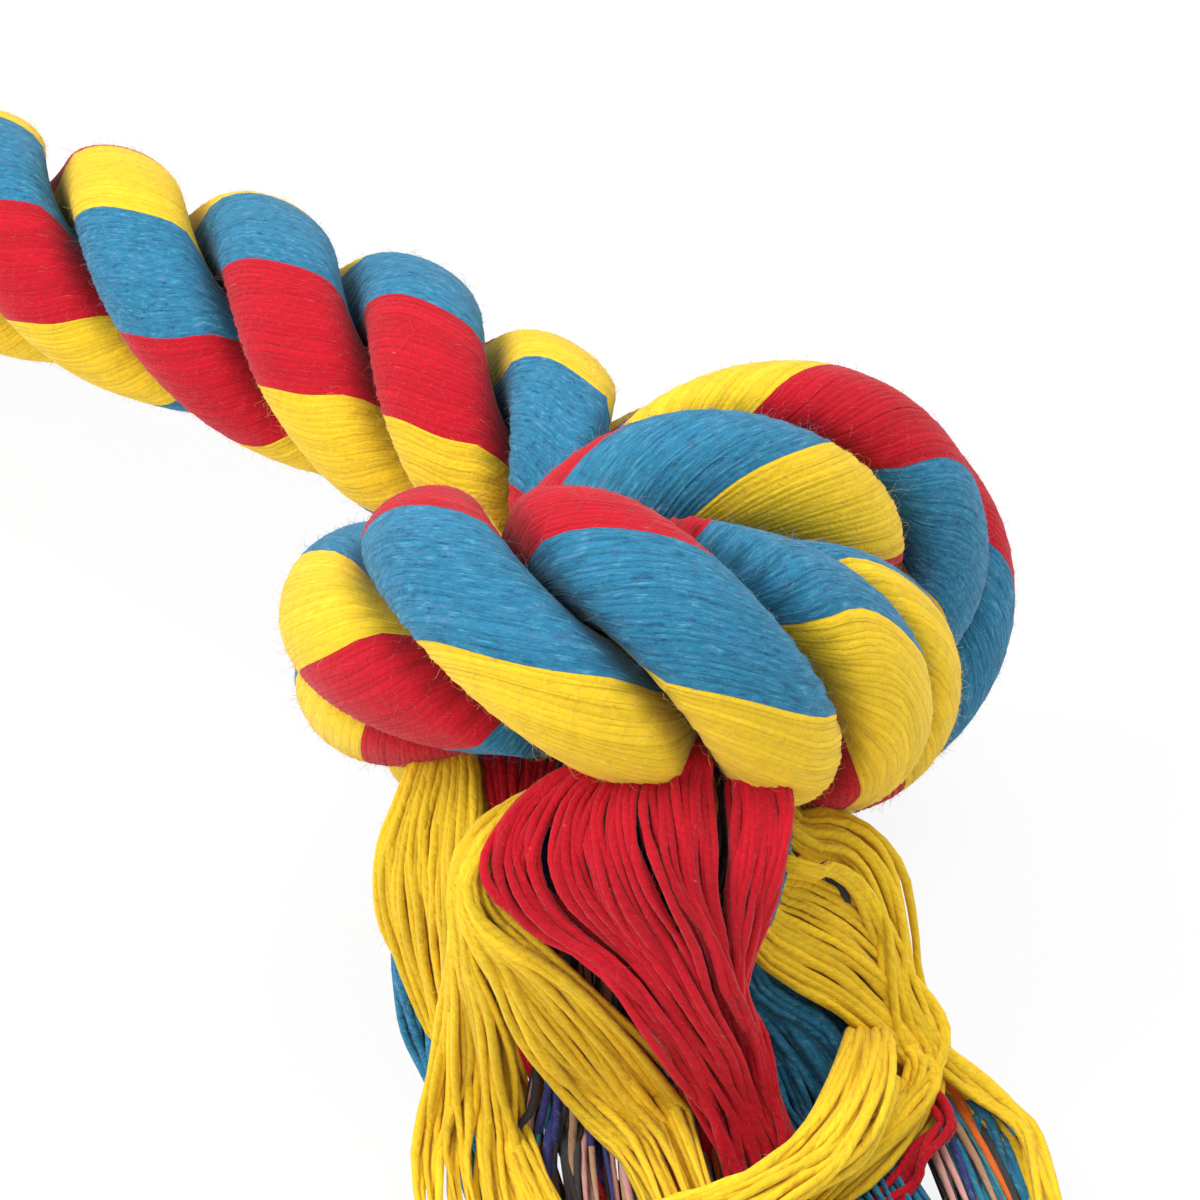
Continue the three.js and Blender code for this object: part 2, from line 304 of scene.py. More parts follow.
class Nodes:
    # A shorthand for building a node tree: each call makes a node, links its inputs and gives one output
    def __init__(self, name):
        self.material = bpy.data.materials.new(name)
        self.material.use_nodes = True
        self.tree = self.material.node_tree
        self.tree.nodes.clear()

    def add(self, kind, inputs=None, output=0, **settings):
        node = self.tree.nodes.new(kind)
        for key, value in settings.items():
            setattr(node, key, value)
        for key, value in (inputs or {}).items():
            if isinstance(value, bpy.types.NodeSocket):
                self.tree.links.new(value, node.inputs[key])
            else:
                node.inputs[key].default_value = value
        return node.outputs[output]

    def surface(self, shader):
        node = self.tree.nodes.new("ShaderNodeOutputMaterial")
        self.tree.links.new(shader, node.inputs["Surface"])
        return self.material

    def math(self, operation, a, b=0.0, c=0.0):
        return self.add("ShaderNodeMath", {0: a, 1: b, 2: c}, operation=operation)

    def mix(self, factor, a, b, blend="MIX"):
        settings = {"data_type": "RGBA", "blend_type": blend, "clamp_factor": True}
        return self.add("ShaderNodeMix", {0: factor, 6: a, 7: b}, 2, **settings)

    def band(self, value, low, high, toLow=0.0, toHigh=1.0):
        inputs = {0: value, 1: low, 2: high, 3: toLow, 4: toHigh}
        return self.add("ShaderNodeMapRange", inputs, interpolation_type="SMOOTHSTEP")


def yarnNoise(n, kind, across, along, yarn):
    # Noise stretched along a yarn, and other noise for the next yarn
    look = cotton[kind]
    place = n.add(
        "ShaderNodeCombineXYZ",
        {
            0: n.math("MULTIPLY", across, look["across"]),
            1: n.math("MULTIPLY", along, look["along"]),
            2: n.math("MULTIPLY", yarn, look["yarn"]),
        },
    )
    inputs = {"Vector": place, "Scale": 1.0, "Detail": look["detail"], "Roughness": look["roughness"]}
    return n.add("ShaderNodeTexNoise", inputs)


def bodyNoise(n, kind):
    look = cotton[kind]
    inputs = {"Scale": look["scale"], "Detail": look["detail"], "Roughness": look["roughness"]}
    inputs["Vector"] = n.add("ShaderNodeTexCoord", None, "Object")
    return n.add("ShaderNodeTexNoise", inputs)


def cottonFinish(n, colour, across, along, yarn, paintedGrooveShade, ply):
    # Shade is a base plus a random level for each yarn, the nap, the streaks along a yarn and the grain, each
    # by its share. Painted shade darkens it towards the edges of the groove 4f(1-f), f being the fraction
    # across a yarn. Blue is heathered with other fibres.
    noises = {kind: yarnNoise(n, kind, across, along, yarn) for kind in ("streak", "fleck")}
    noises.update({kind: bodyNoise(n, kind) for kind in ("grain", "nap", "depth")})
    noises["yarn"] = n.add("ShaderNodeTexWhiteNoise", {"W": yarn}, noise_dimensions="1D")
    shade = cotton["shade"]["base"]
    for kind in ("yarn", "nap", "streak", "grain"):
        shade = n.math("MULTIPLY_ADD", noises[kind], cotton["shade"][kind], shade)
    groove = n.math("MULTIPLY", n.math("MULTIPLY", across, n.math("SUBTRACT", 1.0, across)), 4.0)
    # painted groove shade: the mask that darkens the colour in the creases between yarns or plies
    varied = n.band(noises["depth"], *cotton["paintedGrooveVaries"])
    edge = n.math("MULTIPLY", n.band(groove, cotton["grooveEdge"], 0.0), varied)
    shade = n.math("MULTIPLY", shade, n.math("MULTIPLY_ADD", edge, paintedGrooveShade - 1.0, 1.0))
    grey = n.add("ShaderNodeCombineColor", {0: shade, 1: shade, 2: shade})
    toned = n.mix(1.0, colour, grey, "MULTIPLY")
    parts = n.add("ShaderNodeSeparateColor", {0: colour}).node
    blueness = n.math("SUBTRACT", parts.outputs[2], parts.outputs[0])
    heather = n.band(blueness, *cotton["heatherFrom"])
    for kind, low, high, most, fibre in cotton["heather"]:
        amount = n.math("MULTIPLY", heather, n.band(noises[kind], low, high, 0.0, most))
        toned = n.mix(amount, toned, fibre)
    toned = n.mix(n.band(noises["streak"], *cotton["lint"]["band"]), toned, cotton["lint"]["colour"])
    height = n.math("MULTIPLY", groove, ply)
    for kind in ("streak", "grain", "nap"):
        height = n.math("MULTIPLY_ADD", noises[kind], cotton["height"][kind], height)
    look = cotton["bump"]
    inputs = {"Strength": look["strength"], "Distance": look["distance"], "Height": height}
    bump = n.add("ShaderNodeBump", inputs)
    shader = n.add(
        "ShaderNodeBsdfPrincipled",
        {
            "Base Color": toned,
            "Roughness": cotton["roughness"],
            "Specular IOR Level": cotton["specular"],
            "Sheen Weight": cotton["sheen"],
            "Sheen Roughness": cotton["sheenRoughness"],
            "Normal": bump,
        },
    )
    return n.surface(shader)


def makeStripedCotton():
    # The map's first number counts round the three strands, its second runs along the rope in metres
    n = Nodes("striped_cotton_lay")
    place = n.add("ShaderNodeUVMap", uv_map=cotton["mapName"])
    split = n.add("ShaderNodeSeparateXYZ", {0: place}).node
    count = n.math("MULTIPLY", split.outputs[0], rope["strands"] * rope["yarns"])
    yarn = n.math("FLOOR", count)
    across = n.math("FRACT", count)
    along = n.math("MULTIPLY", split.outputs[1], 1 / mm)
    around = n.math("FRACT", n.math("MULTIPLY", split.outputs[0], rope["strands"]))
    ramp = n.add("ShaderNodeValToRGB", {0: around}).node
    stops = ramp.color_ramp
    stops.interpolation = "CONSTANT"
    stops.elements.remove(stops.elements[1])
    for i, name in enumerate(strandColours):
        stop = stops.elements[0] if i == 0 else stops.elements.new(i / len(strandColours))
        stop.color = (*palette[name], 1)
    # Painted shade: the strands' colour is darkened where two strands meet, from the points' attribute
    paintedValleyShade = n.add("ShaderNodeAttribute", attribute_name=cotton["tintAndShadeName"])
    colour = n.mix(1.0, ramp.outputs[0], paintedValleyShade, "MULTIPLY")
    return cottonFinish(n, colour, across, along, yarn, cotton["groove"], 0.0)


def makeLooseCotton():
    # A loose yarn's own colour is on its points. The map runs round it, with the yarn's number, and along it.
    # Two plies wind round each other, a turn in 3.6 mm.
    n = Nodes("loose_cotton_yarn")
    tint = n.add("ShaderNodeAttribute", attribute_name=cotton["tintAndShadeName"])
    place = n.add("ShaderNodeUVMap", uv_map=cotton["mapName"])
    split = n.add("ShaderNodeSeparateXYZ", {0: place}).node
    along = n.math("MULTIPLY", split.outputs[1], 1 / mm)
    plies = n.math("MULTIPLY", split.outputs[0], 2.0)
    wound = n.math("MULTIPLY_ADD", along, cotton["plyTurn"], plies)
    yarn = n.math("FLOOR", split.outputs[0])
    across = n.math("FRACT", wound)
    return cottonFinish(n, tint, across, along, yarn, cotton["plyPaintedShade"], cotton["plyHeight"])


def makeFuzzCotton():
    look = cotton["fibre"]
    n = Nodes("loose_cotton_fibre")
    tint = n.add("ShaderNodeAttribute", attribute_name=cotton["tintAndShadeName"])
    shader = n.add(
        "ShaderNodeBsdfPrincipled",
        {
            "Base Color": n.mix(look["pale"], tint, look["paleColour"]),
            "Roughness": look["roughness"],
            "Specular IOR Level": look["specular"],
            "Sheen Weight": look["sheen"],
        },
    )
    return n.surface(shader)


finishes = {"striped": makeStripedCotton(), "loose": makeLooseCotton(), "fuzz": makeFuzzCotton()}
print("materials made:", len(finishes))


def meshPiece(name, points, faces, uv, tint, finishIndex, flat, finishNames):
    # faces is a list of whole arrays of quads or triangles, and uv one pair per face corner in the same order
    mesh = bpy.data.meshes.new(name)
    corners = np.concatenate([f.ravel() for f in faces])
    sizes = np.concatenate([np.full(len(f), f.shape[1]) for f in faces])
    mesh.vertices.add(len(points))
    mesh.vertices.foreach_set("co", points.astype(np.float32).ravel())
    mesh.loops.add(len(corners))
    mesh.loops.foreach_set("vertex_index", corners.astype(np.int32))
    mesh.polygons.add(len(sizes))
    mesh.polygons.foreach_set("loop_start", (np.cumsum(sizes) - sizes).astype(np.int32))
    mesh.polygons.foreach_set("material_index", finishIndex.astype(np.int32))
    mesh.update(calc_edges=True)
    mesh.polygons.foreach_set("use_smooth", ~flat)
    mesh.uv_layers.new(name=cotton["mapName"]).uv.foreach_set("vector", uv.astype(np.float32).ravel())
    layer = mesh.attributes.new(cotton["tintAndShadeName"], "FLOAT_COLOR", "POINT")
    layer.data.foreach_set("color", np.hstack([tint, np.ones((len(tint), 1))]).astype(np.float32).ravel())
    for key in finishNames:
        mesh.materials.append(finishes[key])
    mesh.validate()
    piece = bpy.data.objects.new(name, mesh)
    bpy.context.scene.collection.objects.link(piece)
    return piece


def gridQuads(rows, columns):
    # The quads between neighbouring rows of a grid that closes round, with each one's row and column
    i, j = (a.ravel() for a in np.meshgrid(np.arange(rows - 1), np.arange(columns), indexing="ij"))
    near, far = i * columns, (i + 1) * columns
    right = (j + 1) % columns
    return i, j, np.stack([near + j, near + right, far + right, far + j], -1)


def gridCaps(rows, columns):
    # Triangles from the two points that follow a grid to its first and its last row
    ends = np.arange(columns)
    nextEnds = (ends + 1) % columns
    last = (rows - 1) * columns
    tip = np.full(columns, rows * columns)
    return np.stack([tip, nextEnds, ends], -1), np.stack([tip + 1, last + ends, last + nextEnds], -1)


# The strands' skin
skin = {
    "step": 0.0013,
    "profile": (0.0, 0.3, 0.7),  # where points lie across a yarn
    "ridge": 0.00009,  # a yarn's crown above its groove
    "wander": 0.28,  # how far a groove strays, in yarns
    "lump": 0.012,  # how much a strand's thickness varies
    "gap": 0.0001,  # left between two strands that press on each other
    "softness": 9,  # how sharply a strand turns into the flat where it meets another
    "floor": 0.0003,
    "lap": 0.0013,  # how far a strand's pieces run into each other
    "lapDepth": 0.00004,  # and how far the lapping ring lies under the other's skin
    "paintedValleyShade": 0.5,  # painted shade: the light left where two strands meet
    "paintedValleyRoom": (0.92, 1.22),  # room against radius, at the darkest painted shade and where it ends
    "openRoom": 1.04,  # room against radius, where the skin is open to the air
    "leastRoom": 0.0004,
    "leastSlant": 0.45,
    "nudge": 0.0004,  # for a strand's direction
    "ballStep": 0.0016,  # between the places that stand for a strand when others ask for room
    "nearest": 14,  # how many of them are asked
    "samePass": 1.6,  # rope diameters along itself within which a strand isn't its own neighbour
    "leastLean": 0.03,
    "waveTerms": 5,
    "grooveWaves": (0.010, 0.060),  # the shortest and the longest
    "lumpWaves": (0.012, 0.050),
    "crownWaves": (0.006, 0.040),
    "crownVaries": 0.35,
    "mapShift": 0.5,  # keeps the map's second number above zero
}
ballPlaces = np.arange(-ropeEnd, ropeEnd, skin["ballStep"])
balls = [strandCentre(k, ballPlaces) for k in range(rope["strands"])]


def roomAround(k, s, centre, way):
    # How far each direction may go before it meets the plane between this strand and another, or another pass
    # of this one: the plane's share of the distance, over the cosine between the direction and the line to it
    most = np.full(way.shape[:2], np.inf)
    radius = strandRadius(s)[:, None]
    for other in range(rope["strands"]):
        away = balls[other][None] - centre[:, None]
        far = np.linalg.norm(away, axis=2)
        if other == k:
            far[np.abs(ballPlaces[None] - s[:, None]) < skin["samePass"] * rope["diameter"]] = np.inf
        near = np.argpartition(far, skin["nearest"], axis=1)[:, : skin["nearest"]]
        far = np.take_along_axis(far, near, 1)
        line = np.take_along_axis(away, near[..., None], 1) / far[..., None]
        lean = np.einsum("imc,inc->imn", way, np.where(np.isfinite(line), line, 0))
        plane = far * (radius / (radius + strandRadius(ballPlaces)[near])) - skin["gap"] / 2
        least = skin["leastLean"]
        room = np.where(lean > least, plane[:, None] / np.maximum(lean, least), np.inf)
        most = np.minimum(most, room.min(2))
    return most


def strandSkin(k, start, end):
    # A surface of two numbers: s along the rope, u round the strand. From the strand's centre, in the rope's
    # cross plane, a point goes out to an oblique round section, softly cut by the planes shared with its
    # neighbours, (free^-n + room^-n)^(-1/n), plus a yarn's round crown: ridge * sqrt(1 - (2f-1)^2) at the
    # fraction f across the yarn
    count = max(3, int(np.ceil((end - start) / skin["step"])))
    s = np.linspace(start, end, count + 1)
    profile = np.array(skin["profile"])
    centre = strandCentre(k, s)
    along = unit(strandCentre(k, s + skin["nudge"]) - strandCentre(k, s - skin["nudge"]))
    edge = np.arange(rope["yarns"])[None] + skin["wander"] * grooveWander(k, s)
    nextEdge = np.roll(edge, -1, axis=1)
    nextEdge[:, -1] += rope["yarns"]
    u = edge[..., None] * (1 - profile) + nextEdge[..., None] * profile
    u = u.reshape(len(s), -1) / rope["yarns"]
    angle = np.radians(rope["colourStart"][k] + 360 * u + colourTurn(k, s)[:, None])
    normal, side = crossFrame(s)
    way = np.cos(angle)[..., None] * normal[:, None] + np.sin(angle)[..., None] * side[:, None]
    slant = np.sqrt(np.maximum(1 - np.einsum("imc,ic->im", way, along) ** 2, skin["leastSlant"]))
    radius = strandRadius(s) * (1 + skin["lump"] * strandLumps(k, s))
    free = radius[:, None] / slant - skin["ridge"]
    room = np.maximum(roomAround(k, s, centre, way) - skin["ridge"], skin["leastRoom"])
    soft = skin["softness"]
    out = (free**-soft + room**-soft) ** (-1 / soft)
    crown = np.sqrt(1 - (2 * profile - 1) ** 2)
    crowns = (yarnCrowns(k, s)[..., None] * crown).reshape(len(s), -1)
    points = centre[:, None] + way * (out + skin["ridge"] * crowns)[..., None]
    points[..., 2] = np.maximum(points[..., 2], skin["floor"])
    return {
        "s": s,
        "points": points,
        "centre": centre,
        "way": way,
        "open": room > skin["openRoom"] * free,
        # painted shade: darker where a neighbour leaves the strand less room
        "shade": np.interp(room / free, skin["paintedValleyRoom"], (skin["paintedValleyShade"], 1)),
    }


# Each strand's own wandering, one set for its whole length, so that its pieces meet
wanderBook = {}


def bookWaves(key, s, channels, shortest, longest):
    if key not in wanderBook:
        wanderBook[key] = drawWaves(skin["waveTerms"], channels, shortest, longest)
    return waveSum(s, *wanderBook[key])


def grooveWander(k, s):
    return bookWaves(("groove", k), s, rope["yarns"], *skin["grooveWaves"])


def strandLumps(k, s):
    return bookWaves(("lump", k), s, 1, *skin["lumpWaves"])[:, 0]


def yarnCrowns(k, s):
    return 1 + skin["crownVaries"] * bookWaves(("crown", k), s, rope["yarns"], *skin["crownWaves"])


# Stray fibres that stand off the cotton: a close nap of short ones and a few long ones
fuzz = {
    "perSquareMetre": 3.0e6,
    "perYarn": 30,
    "nap": (0.00025, 0.0010),  # from the shortest to the longest
    "long": (0.0008, 0.0028),
    "longShare": 0.14,
    "radius": 0.000011,
    "lift": 0.9,
    "liftVaries": (0.3, 1.5),
    "aslant": 1.2,  # the most it leans across the yarn
    "turn": 0.9,  # the most its second length turns aside
    "rise": (-0.7, 0.9),  # and how that length falls or rises against the first
    "waist": 0.8,  # its thickness at the bend
}


def fibreSpikes(base, out, lengthwise, tint, first):
    # Each fibre is a three-sided spike that leaves the yarn aslant: its foot, a middle half its length away
    # and a tip as far on again. A long one keeps its bend at the middle, so it has seven points, and a short
    # one runs straight to the tip, so it has four.
    bentPoints, plainPoints = 7, 4
    thirdCos, thirdSin = -0.5, 0.87  # of a third of a turn
    count = len(base)
    far = int(count * fuzz["longShare"])

    def between(low, high):
        return rng.uniform(low, high, (count, 1))

    low, high = (np.where(np.arange(count) < far, a, b)[:, None] for a, b in zip(fuzz["long"], fuzz["nap"]))
    length = low + (high - low) * between(0, 1) ** 2
    beside = np.cross(out, lengthwise)
    toEither = rng.choice([-1, 1], (count, 1))
    heading = unit(lengthwise * toEither + beside * between(-fuzz["aslant"], fuzz["aslant"]))
    lift = fuzz["lift"] * between(*fuzz["liftVaries"])
    middle = base + length / 2 * unit(heading + out * lift)
    aside = beside * between(-fuzz["turn"], fuzz["turn"])
    tip = middle + length / 2 * unit(heading + aside + out * lift * between(*fuzz["rise"]))
    flank = np.cross(heading, out)
    back, up = thirdCos * flank, thirdSin * out
    around = fuzz["radius"] * np.stack([flank, back + up, back - up], 1)
    foot = base[:, None] + around
    bent = np.concatenate([foot[:far], middle[:far, None] + fuzz["waist"] * around[:far], tip[:far, None]], 1)
    plain = np.concatenate([foot[far:], tip[far:, None]], 1)
    points = np.concatenate([bent.reshape(-1, 3), plain.reshape(-1, 3)])
    points[:, 2] = np.maximum(points[:, 2], fuzz["radius"])
    index = first + bentPoints * np.arange(far)[:, None]
    quads = np.concatenate([index + np.array([j, (j + 1) % 3, 3 + (j + 1) % 3, 3 + j]) for j in range(3)])
    bentTris = [index + np.array(corner) for corner in [(0, 2, 1), (3, 4, 6), (4, 5, 6), (5, 3, 6)]]
    index = first + bentPoints * far + plainPoints * np.arange(count - far)[:, None]
    plainTris = [index + np.array(corner) for corner in [(0, 2, 1), (0, 1, 3), (1, 2, 3), (2, 0, 3)]]
    tints = np.repeat(tint, np.where(np.arange(count) < far, bentPoints, plainPoints), axis=0)
    return points, quads, np.concatenate(bentTris + plainTris), tints


def strandPiece(name, k, start, end):
    lapped = [abs(place) < ropeEnd for place in (start, end)]
    made = strandSkin(k, start - skin["lap"] * lapped[0], end + skin["lap"] * lapped[1])
    grid = made["points"]
    grid[[0, -1]] -= made["way"][[0, -1]] * skin["lapDepth"] * np.array(lapped)[:, None, None]
    rows, columns = grid.shape[:2]
    i, j, quads = gridQuads(rows, columns)
    firstCap, lastCap = gridCaps(rows, columns)
    # The map: u counts yarns evenly whatever the groove's wander, v is the place along the rope
    profile = np.array(skin["profile"])
    mapU = ((np.arange(rope["yarns"])[:, None] + profile) / rope["yarns"]).ravel()
    mapU = (k + np.append(mapU, 1)) / rope["strands"]
    mapV = made["s"] + skin["mapShift"]
    uv = np.stack([
        np.stack([mapU[j], mapU[j + 1], mapU[j + 1], mapU[j]], -1),
        np.stack([mapV[i], mapV[i], mapV[i + 1], mapV[i + 1]], -1),
    ], -1).reshape(-1, 2)
    capUv = np.zeros((2 * columns * 3, 2)) + [(k + 0.5) / rope["strands"], skin["mapShift"]]
    points = np.concatenate([grid.reshape(-1, 3), made["centre"][[0, -1]]])
    # Fibres stand where the skin is open to the air
    crossing = np.cross(grid[1:, 1:] - grid[:-1, :-1], grid[1:, :-1] - grid[:-1, 1:])
    area = np.linalg.norm(crossing, axis=2) / 2
    chance = (area * made["open"][:-1, :-1]).ravel()
    amount = int(chance.sum() * fuzz["perSquareMetre"])
    spot = rng.choice(len(chance), amount, p=chance / chance.sum())
    row, column = np.divmod(spot, columns - 1)
    base = grid[row, column]
    out = made["way"][row, column]
    lengthwise = unit(grid[row + 1, column] - base)
    out = unit(out - lengthwise * (out * lengthwise).sum(-1, keepdims=True))
    sector = (len(strandColours) * column // columns).astype(int)
    tint = np.array([palette[c] for c in strandColours])[sector]
    fibre, fibreQuads, fibreTris, fibreTint = fibreSpikes(base, out, lengthwise, tint, len(points))
    faces = [quads, firstCap, lastCap, fibreQuads, fibreTris]
    counts = [len(f) for f in faces]
    uv = np.concatenate([uv, capUv, np.zeros((4 * counts[3] + 3 * counts[4], 2))])
    # The skin's points carry the painted valley shade, and the caps' centres carry its darkest
    shade = np.append(made["shade"].ravel(), [skin["paintedValleyShade"]] * 2)
    tints = np.concatenate([np.repeat(shade[:, None], 3, axis=1), fibreTint])
    finishIndex = np.repeat([0, 0, 0, 1, 1], counts)
    flat = np.repeat([False, True, True, False, False], counts)
    points = np.concatenate([points, fibre])
    return meshPiece(name, points, faces, uv, tints, finishIndex, flat, ("striped", "fuzz"))


bendPlaces = {"middleEnd": 0.020, "neckMiddle": 0.048, "neckEnd": 0.076}  # along the rope from its middle


def makeStrands():
    middleEnd, neckMiddle = bendPlaces["middleEnd"], bendPlaces["neckMiddle"]
    for k in range(rope["strands"]):
        label = "strand_" + str(k + 1)
        middle = strandPiece("laid_" + label + "_middle", k, -middleEnd, middleEnd)
        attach(middle, "rope_middle")
        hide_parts(label + "_middle")
        for side, way in (("right", 1), ("left", -1)):
            near = strandPiece(f"laid_{label}_{side}_neck", k, *sorted((way * middleEnd, way * neckMiddle)))
            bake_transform(near)
            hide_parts(f"{label}_{side}_neck")
            far = strandPiece(f"laid_{label}_{side}_knot", k, *sorted((way * neckMiddle, way * ropeEnd)))
            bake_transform(far)
            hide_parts(f"{label}_{side}_knot")
        print("strand", k + 1, "laid")


makeStrands()
